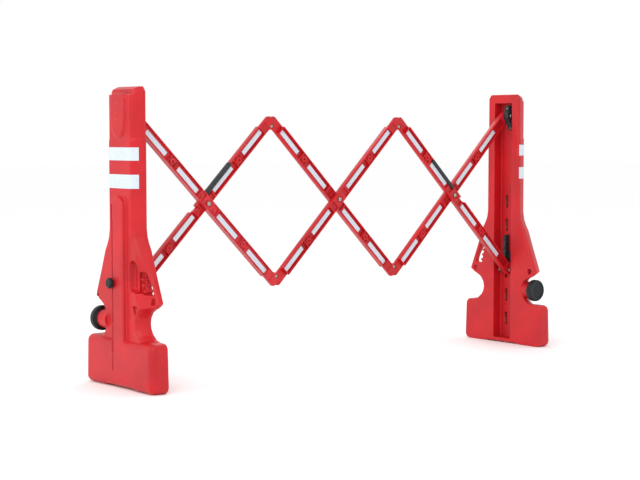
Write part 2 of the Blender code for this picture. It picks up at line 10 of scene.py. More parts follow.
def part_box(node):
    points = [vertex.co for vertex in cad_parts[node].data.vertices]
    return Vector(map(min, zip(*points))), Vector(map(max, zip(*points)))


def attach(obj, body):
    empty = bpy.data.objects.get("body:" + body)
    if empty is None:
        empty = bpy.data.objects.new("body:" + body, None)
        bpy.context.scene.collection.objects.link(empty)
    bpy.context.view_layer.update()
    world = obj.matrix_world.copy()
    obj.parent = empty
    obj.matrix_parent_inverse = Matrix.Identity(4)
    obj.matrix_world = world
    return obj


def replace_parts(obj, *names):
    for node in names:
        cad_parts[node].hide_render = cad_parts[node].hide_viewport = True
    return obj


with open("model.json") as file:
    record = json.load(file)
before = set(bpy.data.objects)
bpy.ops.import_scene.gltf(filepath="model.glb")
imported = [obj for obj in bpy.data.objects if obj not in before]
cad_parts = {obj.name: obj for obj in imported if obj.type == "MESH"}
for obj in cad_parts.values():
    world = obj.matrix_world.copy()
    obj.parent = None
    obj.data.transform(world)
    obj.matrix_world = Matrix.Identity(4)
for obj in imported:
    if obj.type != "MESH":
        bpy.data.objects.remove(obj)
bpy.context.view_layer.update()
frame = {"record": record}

# Driving sizes in metres.
POST_LOW, POST_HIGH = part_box("post_right")
INNER_X = POST_LOW[0]                  # inner face of each post
POST_TOP = POST_HIGH[2]
BASE_DEEP = POST_HIGH[0] - INNER_X
BASE_HALF = POST_HIGH[1] - 0.004
COLUMN_DEEP = 0.054
COLUMN_HALF, HEAD_HALF = 0.084, 0.081
BASE_TOP = 0.165
CHANNEL_HALF, CHANNEL_DEEP = 0.047, 0.042
SLOT_Y = -0.030                        # the slot that the lock knob's stud runs in
RIDGE_HALF, RIDGE_TOP = 0.038, 0.640
CAP_LOW, CAP_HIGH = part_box("filler_cap_right")
CAP_R = (CAP_HIGH[2] - CAP_LOW[2]) / 2
CAP_X = (CAP_LOW[0] + CAP_HIGH[0]) / 2
CAP_Z = (CAP_LOW[2] + CAP_HIGH[2]) / 2
CAP_FACE = -CAP_LOW[1]
NECK_R, BORE_R = 0.032, 0.016
KNOB_LOW, KNOB_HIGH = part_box("lock_knob_right")
KNOB_Z = (KNOB_LOW[2] + KNOB_HIGH[2]) / 2
STUD_BORE_R = 0.0034
PAST = 0.004                           # how far a cutter reaches past the face that it cuts

ARM_HALF_WIDE, ARM_HALF_DEEP = 0.019, 0.0115
ARM_FLANGE, WEB_HALF = 0.003, 0.00175
LAP_ALONG, LAP_OFFSET, OUTER_ALONG = 0.3944, 0.0195, 0.437
LUG_R, TIP_R = 0.013, 0.017
LAP_BEYOND, LAP_ROUND, LAP_ZONE = 0.018, 0.012, 0.040
LAYER = 0.0125
BODY_ANGLE = math.radians(45.2)
JOINTS = {j["name"]: Vector(j["pos_m"]) for j in frame["record"]["behaviour"]["joints"]}
LATTICE_Z = JOINTS["cross_1"].z
CROSS_X = (JOINTS["cross_1"].x, 0.0, -JOINTS["cross_1"].x)


# ---------------------------------------------------------------- materials

def new_material(name, colour, rough, metal=0.0):
    mat = bpy.data.materials.new(name)
    mat.use_nodes = True
    shader = mat.node_tree.nodes["Principled BSDF"]
    shader.inputs["Base Color"].default_value = (*colour, 1.0)
    shader.inputs["Roughness"].default_value = rough
    shader.inputs["Metallic"].default_value = metal
    return mat, mat.node_tree, shader


def add(tree, kind, **inputs):
    node = tree.nodes.new(kind)
    for key, value in inputs.items():
        node.inputs[key.replace("_", " ")].default_value = value
    return node


def noise(tree, coords, scale, detail=3.0):
    node = add(tree, "ShaderNodeTexNoise", Scale=scale, Detail=detail)
    tree.links.new(coords, node.inputs["Vector"])
    return node.outputs["Fac"]


def ramp(tree, source, low, high, first, second):
    node = tree.nodes.new("ShaderNodeMapRange")
    node.inputs["From Min"].default_value = low
    node.inputs["From Max"].default_value = high
    node.inputs["To Min"].default_value = first
    node.inputs["To Max"].default_value = second
    tree.links.new(source, node.inputs["Value"])
    return node.outputs["Result"]


def mix_colour(tree, factor, first, second):
    node = tree.nodes.new("ShaderNodeMix")
    node.data_type = "RGBA"
    for socket, value in ((node.inputs[6], first), (node.inputs[7], second)):
        if isinstance(value, tuple):
            socket.default_value = (*value, 1.0)
        else:
            tree.links.new(value, socket)
    tree.links.new(factor, node.inputs[0])
    return node.outputs[2]


def bumps(tree, shader, layers):
    """Layers are (height socket, strength, distance in metres), fine ones last."""
    last = None
    for height, strength, distance in layers:
        node = add(tree, "ShaderNodeBump", Strength=strength, Distance=distance)
        tree.links.new(height, node.inputs["Height"])
        if last:
            tree.links.new(last, node.inputs["Normal"])
        last = node.outputs["Normal"]
    tree.links.new(last, shader.inputs["Normal"])


def moulded_plastic(name, colour, pale, rough, grain, edge_low=0.52, edge_high=0.60):
    """Moulded plastic: slow colour drift, fine grain, scuffed and paler edges, and painted shade in concave
    creases.
    """
    mat, tree, shader = new_material(name, colour, rough)
    coords = tree.nodes.new("ShaderNodeTexCoord").outputs["Object"]
    drift = noise(tree, coords, 9.0)
    fine = noise(tree, coords, grain, 4.0)
    scuff = noise(tree, coords, 130.0, 5.0)
    edges = tree.nodes.new("ShaderNodeNewGeometry").outputs["Pointiness"]
    edge = ramp(tree, edges, edge_low, edge_high, 0.0, 1.0)
    broken = tree.nodes.new("ShaderNodeMath")
    broken.operation = "MULTIPLY"
    tree.links.new(edge, broken.inputs[0])
    tree.links.new(ramp(tree, scuff, 0.42, 0.62, 0.15, 0.85), broken.inputs[1])
    deep = tuple(c * 0.80 for c in colour)
    base = mix_colour(tree, ramp(tree, drift, 0.35, 0.70, 0.0, 1.0), colour, deep)
    worn = mix_colour(tree, broken.outputs[0], base, pale)
    # Painted shade: concave creases and recesses are darkened towards 30 % of the colour, standing in for the
    # shade that falls there.
    painted_crevice_shade = ramp(tree, edges, 0.38, 0.475, 1.0, 0.0)
    crevice_shade_colour = tuple(c * 0.30 for c in colour)
    tree.links.new(mix_colour(tree, painted_crevice_shade, worn, crevice_shade_colour), shader.inputs["Base Color"])
    tree.links.new(ramp(tree, fine, 0.3, 0.7, rough - 0.06, rough + 0.10), shader.inputs["Roughness"])
    bumps(tree, shader, ((drift, 0.25, 0.0015), (fine, 0.10, 0.0002)))
    return mat, shader


def zinc():
    mat, tree, shader = new_material("zinc_steel", (0.42, 0.40, 0.34), 0.36, 1.0)
    coords = tree.nodes.new("ShaderNodeTexCoord").outputs["Object"]
    spangle = noise(tree, coords, 420.0, 2.0)
    tone = mix_colour(tree, spangle, (0.48, 0.45, 0.38), (0.30, 0.28, 0.24))
    tree.links.new(tone, shader.inputs["Base Color"])
    tree.links.new(ramp(tree, spangle, 0.3, 0.7, 0.24, 0.46), shader.inputs["Roughness"])
    bumps(tree, shader, ((spangle, 0.2, 0.0003),))
    return mat


def reflective(name):
    """White micro-prism sheeting: a fine diamond lattice under a clear coat."""
    mat, tree, shader = new_material(name, (0.80, 0.83, 0.87), 0.30)
    coords = tree.nodes.new("ShaderNodeTexCoord").outputs["Object"]
    cells = add(tree, "ShaderNodeTexVoronoi", Scale=260.0)
    cells.feature = "DISTANCE_TO_EDGE"
    tree.links.new(coords, cells.inputs["Vector"])
    seams = ramp(tree, cells.outputs["Distance"], 0.02, 0.10, 0.0, 1.0)
    cloudy = noise(tree, coords, 30.0)
    tint = mix_colour(tree, cloudy, (0.62, 0.70, 0.78), (0.70, 0.77, 0.84))
    tree.links.new(mix_colour(tree, seams, (0.50, 0.56, 0.64), tint), shader.inputs["Base Color"])
    tree.links.new(ramp(tree, cloudy, 0.3, 0.7, 0.24, 0.40), shader.inputs["Roughness"])
    shader.inputs["Coat Weight"].default_value = 0.5
    shader.inputs["Coat Roughness"].default_value = 0.12
    bumps(tree, shader, ((cells.outputs["Distance"], 0.25, 0.0004),))
    return mat


RED = (0.57, 0.008, 0.014)
RED_POST, red_shader = moulded_plastic("moulded_red", RED, (0.80, 0.10, 0.12), 0.40, 900.0)
RED_ARM, arm_shader = moulded_plastic("arm_red", RED, (0.62, 0.035, 0.045), 0.36, 1100.0, 0.60, 0.80)
for shader in (red_shader, arm_shader):
    shader.inputs["Specular IOR Level"].default_value = 0.36
BLACK, black_shader = moulded_plastic("moulded_black", (0.011, 0.013, 0.017), (0.05, 0.055, 0.06),
                                      0.38, 900.0)
black_shader.inputs["Specular IOR Level"].default_value = 0.24
RUBBER, _ = moulded_plastic("grip_rubber", (0.016, 0.018, 0.020), (0.06, 0.065, 0.07), 0.62, 700.0)
ZINC = zinc()
TAPE = reflective("reflective_tape")
BY_SLOT = {"red_plastic": RED_POST, "red_arm": RED_ARM, "black_plastic": BLACK, "black_rubber": RUBBER,
           "zinc_steel": ZINC, "white_tape": TAPE}


# ---------------------------------------------------------------- mesh helpers

def loft(bm, rings):
    rows = [[bm.verts.new(p) for p in ring] for ring in rings]
    count = len(rows[0])
    for lower, upper in zip(rows, rows[1:]):
        for i in range(count):
            j = (i + 1) % count
            bm.faces.new((lower[i], lower[j], upper[j], upper[i]))
    bm.faces.new(rows[0])
    bm.faces.new(reversed(rows[-1]))


def box(bm, x, y, z):
    loft(bm, [[(x[0], y[0], h), (x[1], y[0], h), (x[1], y[1], h), (x[0], y[1], h)] for h in z])
    return bm


def turned(bm, centre, axis, profile, count=48):
    """Solid of revolution from (distance along the axis, radius) pairs."""
    spin = Vector(axis).to_track_quat("Z", "Y").to_matrix()
    rings = []
    for along, radius in profile:
        rings.append([Vector(centre) + spin @ Vector((
            radius * math.cos(2 * math.pi * i / count), radius * math.sin(2 * math.pi * i / count), along))
            for i in range(count)])
    loft(bm, rings)
    return bm


def arc(cy, cz, r, start, end, count):
    steps = [math.radians(start + (end - start) * i / count) for i in range(count + 1)]
    return [(cy + r * math.cos(a), cz + r * math.sin(a)) for a in steps]


def inset(points, amount):
    """The anticlockwise outline moved inward by the amount, corner for corner."""
    out = []
    for i, p in enumerate(points):
        before, after, p = Vector(points[i - 1]), Vector(points[(i + 1) % len(points)]), Vector(p)
        e1, e2 = (p - before).normalized(), (after - p).normalized()
        n1, n2 = Vector((-e1.y, e1.x)), Vector((-e2.y, e2.x))
        out.append(tuple(p + (n1 + n2) / max(1 + n1.dot(n2), 0.4) * amount))
    return out


def mirrored(half):
    return half + [(-y, z) for y, z in reversed(half)]


def to_object(bm, name, side=1):
    if side < 0:
        bmesh.ops.rotate(bm, verts=bm.verts, cent=(0, 0, 0), matrix=Matrix.Rotation(math.pi, 3, "Z"))
    bmesh.ops.remove_doubles(bm, verts=bm.verts, dist=1e-6)
    bmesh.ops.recalc_face_normals(bm, faces=bm.faces)
    mesh = bpy.data.meshes.new(name)
    bm.to_mesh(mesh)
    bm.free()
    obj = bpy.data.objects.new(name, mesh)
    bpy.context.scene.collection.objects.link(obj)
    return obj


def apply_all(obj):
    """Makes the modifiers' result the object's own mesh."""
    graph = bpy.context.evaluated_depsgraph_get()
    mesh = bpy.data.meshes.new_from_object(obj.evaluated_get(graph))
    obj.modifiers.clear()
    obj.data = mesh
    return obj


def combine(obj, tools):
    """Applies (tool object, operation) pairs in turn and removes the tools."""
    for tool, operation in tools:
        mod = obj.modifiers.new("step", "BOOLEAN")
        mod.object = tool
        mod.operation = operation
        mod.solver = "EXACT"
    apply_all(obj)
    for tool, _ in tools:
        bpy.data.objects.remove(tool, do_unlink=True)
    return obj


def dress(obj, mat, body, smooth=True):
    obj.data.materials.clear()
    obj.data.materials.append(mat)
    obj.data.polygons.foreach_set("use_smooth", [smooth] * len(obj.data.polygons))
    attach(obj, body)
    return obj


def bevelled(obj, width, segments=1, degrees=None, harden=False):
    """Rounds the sharp edges, past the angle if one is given, and applies the modifiers."""
    bevel = obj.modifiers.new("edges", "BEVEL")
    bevel.width = width
    bevel.segments = segments
    bevel.limit_method = "ANGLE"
    bevel.harden_normals = harden
    if degrees:
        bevel.angle_limit = math.radians(degrees)
    return apply_all(obj)


def soften(obj, voxel, rounds):
    """Rounds every edge the way a blown moulding does: remesh, then smooth."""
    remesh = obj.modifiers.new("remesh", "REMESH")
    remesh.mode = "VOXEL"
    remesh.voxel_size = voxel
    smooth = obj.modifiers.new("smooth", "SMOOTH")
    smooth.factor = 0.5
    smooth.iterations = rounds
    return apply_all(obj)


# ---------------------------------------------------------------- posts

def plate(outline, levels):
    """Outline across the post, inset by an amount at each depth from the inner face."""
    bm = bmesh.new()
    loft(bm, [[(INNER_X + deep, y, z) for y, z in inset(outline, amount)] for deep, amount in levels])
    return bm


def base_outline():
    half = [(0.075, 0.004), (0.100, 0.0)] + arc(0.187, 0.022, 0.022, -90, 0, 6)
    return mirrored(half + arc(BASE_HALF - 0.022, BASE_TOP - 0.022, 0.022, 5, 85, 6))


BASE_LEVELS = ((0, 0.004), (0.0015, 0.0015), (0.004, 0), (0.046, 0), (0.055, 0.0025), (0.063, 0.009),
               (0.0665, 0.0145), (BASE_DEEP, 0.020))


def upper_outline():
    """Wings with the notches under them, column and head."""
    half = [(0.165, 0.120), (0.168, 0.164)]
    half += [(0.140, 0.172), (0.119, 0.188), (0.108, 0.205), (0.105, 0.222), (0.109, 0.240), (0.121, 0.257)]
    half += [(0.136, 0.267), (0.163, 0.279), (0.181, 0.292), (0.138, 0.396), (0.112, 0.463)]
    half += [(0.098, 0.486), (0.089, 0.505), (COLUMN_HALF, 0.535), (COLUMN_HALF, 0.828), (HEAD_HALF, 0.832)]
    half += [(HEAD_HALF, POST_TOP - 0.015), (HEAD_HALF - 0.012, POST_TOP)]
    return mirrored(half)


UPPER_LEVELS = ((0, 0.003), (0.003, 0), (0.014, 0), (0.040, 0.010), (0.050, 0.0155), (COLUMN_DEEP, 0.020))


def head_step():
    """Takes the outer part off the top of the head."""
    return box(bmesh.new(), (INNER_X + 0.038, INNER_X + 0.08), (-0.1, 0.1), (0.974, POST_TOP + 0.02))


def ridge():
    """Half-round ridge up the middle of the outer face."""
    outline = [(-RIDGE_HALF, 0.06), (RIDGE_HALF, 0.06)]
    outline += arc(0, RIDGE_TOP - RIDGE_HALF, RIDGE_HALF, 0, 180, 24)
    return plate(outline, ((0.048, 0), (0.0635, 0.0005), (0.0665, 0.0025), (BASE_DEEP - 0.0003, 0.006)))


def nose():
    """Raised panel on the outer face of the head, round at its lower end."""
    outline = arc(0, 0.868, 0.040, 180, 360, 20) + [(0.046, 0.900), (0.046, 0.955)]
    outline += arc(0.028, 0.961, 0.018, 0, 90, 6) + arc(-0.028, 0.961, 0.018, 90, 180, 6)
    outline += [(-0.046, 0.955), (-0.046, 0.900)]
    return plate(outline, ((0.044, 0), (0.056, 0.001), (0.0605, 0.0035), (0.063, 0.009)))


def neck():
    return turned(bmesh.new(), (CAP_X, 0, CAP_Z), (0, -1, 0), [
        (0.080, NECK_R + 0.001), (0.128, NECK_R), (0.137, NECK_R - 0.003), (0.1385, NECK_R - 0.005)])


def neck_bore():
    return turned(bmesh.new(), (CAP_X, 0, CAP_Z), (0, -1, 0), [(0.100, BORE_R), (0.150, BORE_R)])


def channel():
    return box(bmesh.new(), (INNER_X - 0.02, INNER_X + CHANNEL_DEEP), (-CHANNEL_HALF, CHANNEL_HALF),
               (0.018, 0.965))


def handle_slope():
    """Slopes the outer side of the handle's wing inward."""
    bm = bmesh.new()
    sections = ((0.256, 0.128, 0.176), (0.302, 0.088, 0.142), (0.42, 0.088, 0.142), (0.50, 0.106, 0.15))
    loft(bm, [[(INNER_X + d, y, z) for d, y in ((0.056, y0), (0.09, y0), (0.09, 0.23), (0.022, 0.23),
                                                (0.022, y1))] for z, y0, y1 in sections])
    return bm


def handle_cuts():
    """The grip well, its deeper part, the hand hole through the wing and the hollow below them."""
    well = [(0.048, 0.334), (0.062, 0.320), (0.119, 0.320), (0.104, 0.384)]
    well += arc(0.076, 0.408, 0.028, 0, 180, 16)
    deeper = [(0.082, 0.322), (0.119, 0.322), (0.104, 0.386), (0.100, 0.408), (0.082, 0.408)]
    hole = [(0.116, 0.318), (0.151, 0.318), (0.151, 0.328), (0.124, 0.394), (0.104, 0.394), (0.100, 0.384)]
    for z in (0.370, 0.350, 0.330):                  # finger bumps along the hole's inner edge
        y = 0.116 - (z - 0.318) * 0.24
        hole += [(y, z + 0.006), (y + 0.008, z + 0.003), (y + 0.008, z - 0.003), (y, z - 0.006)]
    lower = [(0.062, 0.285), (0.086, 0.236), (0.108, 0.283)]
    return (plate(well, ((0.033, 0.012), (0.075, -0.001))), plate(deeper, ((0.018, 0.001), (0.06, 0))),
            plate(hole, ((-0.02, 0), (0.09, 0))), plate(lower, ((0.042, 0.006), (0.075, 0))))


def small_holes():
    """One small hole through the lower corner of each wing."""
    outline = [(0.141, 0.286), (0.158, 0.288), (0.161, 0.296), (0.157, 0.308), (0.141, 0.308)]
    bm = bmesh.new()
    for s in (1, -1):
        loft(bm, [[(x, s * y, z) for y, z in outline] for x in (INNER_X - 0.02, INNER_X + 0.09)])
    return bm


def post_solid(name, side):
    """The post with sharp edges, as it is before the softening."""
    body = to_object(plate(base_outline(), BASE_LEVELS), name, side)
    steps = [(plate(upper_outline(), UPPER_LEVELS), "UNION"), (head_step(), "DIFFERENCE"), (ridge(), "UNION"),
             (nose(), "UNION"), (neck(), "UNION")]
    cuts = (channel(), handle_slope(), *handle_cuts(), small_holes(), neck_bore())
    steps += [(cut, "DIFFERENCE") for cut in cuts]
    return combine(body, [(to_object(bm, "tool", side), operation) for bm, operation in steps])


MARKS, MARK_PITCH, MARK_LOW, MARK_TALL = 6, 0.095, 0.070, 0.050


def crisp_cuts(obj, side):
    """Sharp openings cut after the softening: the slot, its groove and mouth, and the channel's marks."""
    outside = INNER_X + 0.09
    cuts = [box(bmesh.new(), (INNER_X + deep, outside), (SLOT_Y - half, SLOT_Y + half), span)
            for deep, half, span in ((0.03, 0.0037, (0.0815, 0.5065)), (0.0635, 0.0040, (0.057, 0.613)),
                                     (0.056, 0.0062, (0.120, 0.560)))]
    marks = bmesh.new()
    channel_floor = INNER_X + CHANNEL_DEEP
    for k in range(MARKS):
        low = MARK_LOW + MARK_PITCH * k
        box(marks, (channel_floor - 0.005, channel_floor + 0.0035), (0.010, 0.024), (low, low + MARK_TALL))
    return combine(obj, [(to_object(bm, "tool", side), "DIFFERENCE") for bm in (*cuts, marks)])


def studs(name, side, body):
    """Three plain round studs on the nose of the head."""
    bm = bmesh.new()
    dome = [(-0.002, 0.0058), (0, 0.0056), (0.0014, 0.0044), (0.0019, 0.0016)]
    for z in (0.945, 0.912, 0.893):
        turned(bm, (INNER_X + 0.0625, -0.004, z), (1, 0, 0), dome, 20)
    return dress(to_object(bm, name, side), RED_POST, body)


VOXEL = 0.0023
SMOOTHING_ROUNDS = 3
for side, label in ((1, "right"), (-1, "left")):
    stand = label + "_stand"
    shell = soften(post_solid("moulded_post_" + label, side), VOXEL, SMOOTHING_ROUNDS)
    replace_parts(dress(crisp_cuts(shell, side), RED_POST, stand), "post_" + label)
    studs("head_studs_" + label, side, stand)


# ---------------------------------------------------------------- lattice arms

POCKET_REACH = ARM_HALF_WIDE - ARM_FLANGE
BOSS_ALONG = 0.207                             # round boss between an arm's two pockets
STRIPS = ((0.060, 0.172), (0.240, 0.350))      # from the middle pivot, either way along the arm
STRIP_HALF = 0.0086
SEAT_R, SEAT_DEEP = 0.0083, 0.0062


def placing(cross_x, lean, layer):
    """From an arm's own (along, across, deep) to the barrier: lean +1 rises to the right."""
    c, s = math.cos(BODY_ANGLE), math.sin(BODY_ANGLE) * lean
    return Matrix(((c, -s, 0, cross_x), (0, 0, 1, layer), (s, c, 0, LATTICE_Z), (0, 0, 0, 1)))


def prism(bm, place, ring, deep):
    loft(bm, [[place @ Vector((s, t, d)) for s, t in ring] for d in deep])


def rect(s0, s1, t0, t1):
    s0, s1 = sorted((s0, s1))
    return [(s0, t0), (s1, t0), (s1, t1), (s0, t1)]


def disc(s, t, r, count=28):
    return arc(s, t, r, 0, 360 - 360 / count, count - 1)


def rounded(s0, s1, t0, t1, r, count=5):
    s0, s1 = sorted((s0, s1))
    return (arc(s0 + r, t0 + r, r, 180, 270, count) + arc(s1 - r, t0 + r, r, 270, 360, count)
            + arc(s1 - r, t1 - r, r, 0, 90, count) + arc(s0 + r, t1 - r, r, 90, 180, count))


def boss_surround(sign, reach, half):
    """Recess between two pockets, on one side of the round boss that stands in it."""
    if half > 0:
        ring = [(0.193, 0.0015), (0.1955, 0.0015)] + arc(BOSS_ALONG, 0, 0.0115, 172, 8, 14)
        ring += [(0.2185, 0.0015), (0.221, 0.0015), (0.221, reach), (0.193, reach)]
        ring = ring[::-1]
    else:
        ring = [(s, -t) for s, t in reversed(boss_surround(1, reach, 1))]
    return ring if sign > 0 else [(-s, t) for s, t in reversed(ring)]


def lap_outline(along, across):
    """End of an arm at a lap: a disc round the pivot on one edge, a rounded corner on the other."""
    points = [(-0.016, -ARM_HALF_WIDE)] + arc(0, -LAP_OFFSET, LUG_R, -170, -10, 18) + [(LAP_BEYOND, -0.008)]
    points += arc(LAP_BEYOND - LAP_ROUND, ARM_HALF_WIDE - LAP_ROUND, LAP_ROUND, 0, 90, 8)
    if across > 0:
        points = [(s, -t) for s, t in reversed(points)]
    if along < 0:
        points = [(-s, t) for s, t in reversed(points)]
    return [(along + s, t) for s, t in points]


def arm_outline(ends):
    outline = []
    for sign, (along, across), keep in ends:
        if keep:
            outline += lap_outline(along, across)
        else:
            outline += [(along - sign * 0.010, -sign * ARM_HALF_WIDE)]
            outline += arc(along, across, TIP_R, *((-80, 80) if sign > 0 else (100, 260)), 18)
            outline += [(along - sign * 0.010, sign * ARM_HALF_WIDE)]
    return outline


def face_cuts(place, ends, face):
    """Everything cut into one face of an arm: pockets, the recesses round the bosses, dimples and the lap."""
    proud = face * (ARM_HALF_DEEP + PAST)
    to_web = sorted((face * WEB_HALF, proud))
    shallow = sorted((face * (ARM_HALF_DEEP - 0.004), proud))
    skin = sorted((face * (ARM_HALF_DEEP - 0.0016), proud))
    reach = POCKET_REACH
    bm = bmesh.new()
    for sign, (along, _), keep in ends:
        end = abs(along) - (LAP_ZONE + 0.002 if keep else 0.026)
        prism(bm, place, rounded(sign * 0.052, sign * 0.190, -reach, reach, 0.0025), to_web)
        prism(bm, place, rounded(sign * 0.224, sign * end, -reach, reach, 0.0025), to_web)
        prism(bm, place, boss_surround(sign, reach, 1), shallow)
        prism(bm, place, boss_surround(sign, reach, -1), shallow)
        prism(bm, place, disc(sign * BOSS_ALONG, 0, 0.0045), shallow)
        if keep == face:
            lap = rounded(sign * (end + 0.004), sign * (end + 0.029), -reach, reach, 0.004)
            prism(bm, place, lap, skin)
        prism(bm, place, rounded(sign * 0.026, sign * 0.046, -reach, reach, 0.003), shallow)
    prism(bm, place, disc(0, 0, 0.0135), skin)
    return bm


def lap_cuts(place, ends):
    """Takes away the half of the depth that the other arm has at each lap."""
    bm = bmesh.new()
    for sign, (along, _), keep in ends:
        if keep:
            far = ARM_HALF_DEEP + PAST
            deep = (-far, 0.00045) if keep > 0 else (-0.00045, far)
            prism(bm, place, rect(along - sign * LAP_ZONE, along + sign * 0.03, -0.05, 0.05), deep)
    return bm


def pivot_cuts(place, ends):
    """Bolt holes at the three pivots, and seats for the bolts' heads and nuts at the laps."""
    bores, seats = bmesh.new(), bmesh.new()
    (_, right, right_keep), (_, left, left_keep) = ends
    for (along, across), keep in ((left, left_keep), ((0, 0), 0), (right, right_keep)):
        prism(bores, place, disc(along, across, 0.0044, 20), (-0.02, 0.02))
        if keep:
            deep = sorted((keep * (ARM_HALF_DEEP - SEAT_DEEP), keep * (ARM_HALF_DEEP + 0.003)))
            prism(seats, place, disc(along, across, SEAT_R), deep)
    return bores, seats


def grip_cuts(place, lean):
    """Room in the upper flange for the grip, and the notch across the crossing from it."""
    room, notch = bmesh.new(), bmesh.new()
    far = ARM_HALF_DEEP + PAST
    ring = [(-far, 0.0036), (-WEB_HALF, 0.0036), (-WEB_HALF, 0.0145), (WEB_HALF, 0.0145),
            (WEB_HALF, 0.0036), (far, 0.0036), (far, 0.03), (-far, 0.03)]
    loft(room, [[place @ Vector((s, t, d)) for d, t in ring] for s in sorted((0.022 * lean, 0.176 * lean))])
    outline = [(-0.030 * lean, 0.011), (-0.056 * lean, 0.011), (-0.066 * lean, 0.03), (-0.026 * lean, 0.03)]
    prism(notch, place, outline, (-0.02, 0.02))
    return room, notch


def arm(label, node, body, cross_x, lean, layer, left, right, keeps, has_grip=False):
    """One H-section arm. keeps tells which half of the depth each lap end has: +1 the back, -1 the
    front, 0 all of it."""
    place = placing(cross_x, lean, layer)
    ends = ((1, right, keeps[1]), (-1, left, keeps[0]))
    bm = bmesh.new()
    prism(bm, place, arm_outline(ends), (-ARM_HALF_DEEP, ARM_HALF_DEEP))
    solid = to_object(bm, "arm_" + label)
    cuts = [face_cuts(place, ends, 1), face_cuts(place, ends, -1), lap_cuts(place, ends)]
    cuts += pivot_cuts(place, ends)
    if has_grip:
        cuts += grip_cuts(place, lean)
    combine(solid, [(to_object(cut, "tool"), "DIFFERENCE") for cut in cuts])
    bevelled(solid, 0.0009, 2, 40, True)
    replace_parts(dress(solid, RED_ARM, body), node)

    spans = [(sign, span, face) for sign in (-1, 1) for span in STRIPS for face in (-1, 1)]
    for number, (sign, (low, high), face) in enumerate(spans):
        strip(label, number, body, place, sign * low, sign * high, face)


def strip(label, number, body, place, near, far, face):
    """Reflective strip on the web, with a fine rounded rim."""
    bm = bmesh.new()
    base = face * WEB_HALF
    ring = rounded(near, far, -STRIP_HALF, STRIP_HALF, 0.0012, 3)
    prism(bm, place, ring, sorted((base, base + face * 0.0012)))
    obj = bevelled(to_object(bm, "strip_%s_%d" % (label, number)), 0.0004, 2)
    dress(obj, TAPE, body, False)


out_left, out_right = (-OUTER_ALONG, 0.0), (OUTER_ALONG, 0.0)
high_left, high_right = (-LAP_ALONG, -LAP_OFFSET), (LAP_ALONG, -LAP_OFFSET)
low_left, low_right = (-LAP_ALONG, LAP_OFFSET), (LAP_ALONG, LAP_OFFSET)
arm("front_1", "arm_front_1", "arm_a", CROSS_X[0], -1, -LAYER, out_left, low_right, (0, -1))
arm("front_2", "arm_front_2", "arm_d", CROSS_X[1], 1, -LAYER, low_left, high_right, (1, -1))
arm("front_3", "arm_front_3", "arm_e", CROSS_X[2], -1, -LAYER, high_left, out_right, (1, 0), True)
arm("back_1", "arm_back_1", "arm_b", CROSS_X[0], 1, LAYER, out_left, high_right, (0, -1), True)
arm("back_2", "arm_back_2", "arm_c", CROSS_X[1], -1, LAYER, high_left, low_right, (1, -1))
arm("back_3", "arm_back_3", "arm_f", CROSS_X[2], 1, LAYER, low_left, out_right, (1, 0))


# ---------------------------------------------------------------- grips, caps, knobs and sliders

def grip(label, body, cross_x, lean, layer):
    """Ribbed rubber grip clipped over the web."""
    place = placing(cross_x, lean, layer)
    start, length, ribs = 0.0224, 0.1532, 44
    low, high, deep, slot = 0.0090, 0.0232, 0.0112, WEB_HALF + 0.0003
    rings = []
    for k in range(ribs + 1):
        s = lean * (start + length * k / ribs)
        shrink = 0.0 if k % 2 else 0.0006
        if k in (0, ribs):
            shrink = 0.0014
        ring = [(-deep + shrink, low + 0.002), (-deep + 0.002, low + shrink), (-slot, low), (-slot, 0.0148),
                (slot, 0.0148), (slot, low), (deep - 0.002, low + shrink), (deep - shrink, low + 0.002),
                (deep - shrink, high - 0.006), (deep - 0.0018 - shrink, high - 0.0018 - shrink / 2),
                (deep - 0.006, high - shrink), (-deep + 0.006, high - shrink),
                (-deep + 0.0018 + shrink, high - 0.0018 - shrink / 2), (-deep + shrink, high - 0.006)]
        rings.append([place @ Vector((s, t, d)) for d, t in ring])
    bm = bmesh.new()
    loft(bm, rings)
    obj = to_object(bm, "grip_" + label)
    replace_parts(dress(obj, RUBBER, body, False), "grip_sleeve_" + label)


def filler_cap(label, side):
    """Push-in cap with a finely ribbed rim and a shallow dished face."""
    bm = bmesh.new()
    plug = [(0.122, 0.011), (0.123, 0.0145), (0.1402, 0.0145)]
    rim = [(0.1405, CAP_R - 0.0025), (0.1415, CAP_R - 0.0010), (0.1430, CAP_R - 0.0004),
           (0.1575, CAP_R - 0.0004), (0.1600, CAP_R - 0.0010), (0.1618, CAP_R - 0.0026)]
    dish = [(CAP_FACE - 0.0002, CAP_R - 0.0050), (CAP_FACE, CAP_R - 0.0065),
            (CAP_FACE - 0.0004, CAP_R - 0.0078), (CAP_FACE - 0.0014, CAP_R - 0.0086),
            (CAP_FACE - 0.0016, 0.020), (CAP_FACE - 0.0010, 0.008), (CAP_FACE - 0.0009, 0.001)]
    turned(bm, (CAP_X, 0, CAP_Z), (0, -1, 0), plug + rim + dish, 72)
    ribs, rib_ring = 36, CAP_R - 0.0011
    rib = [(0.1425, 0.0004), (0.1430, 0.0010), (0.1580, 0.0010), (0.1590, 0.0004)]
    for k in range(ribs):
        a = 2 * math.pi * k / ribs
        turned(bm, (CAP_X + rib_ring * math.cos(a), 0, CAP_Z + rib_ring * math.sin(a)), (0, -1, 0), rib, 8)
    obj = to_object(bm, "ribbed_cap_" + label, side)
    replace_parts(dress(obj, BLACK, "cap_" + label[0]), "filler_cap_" + label)


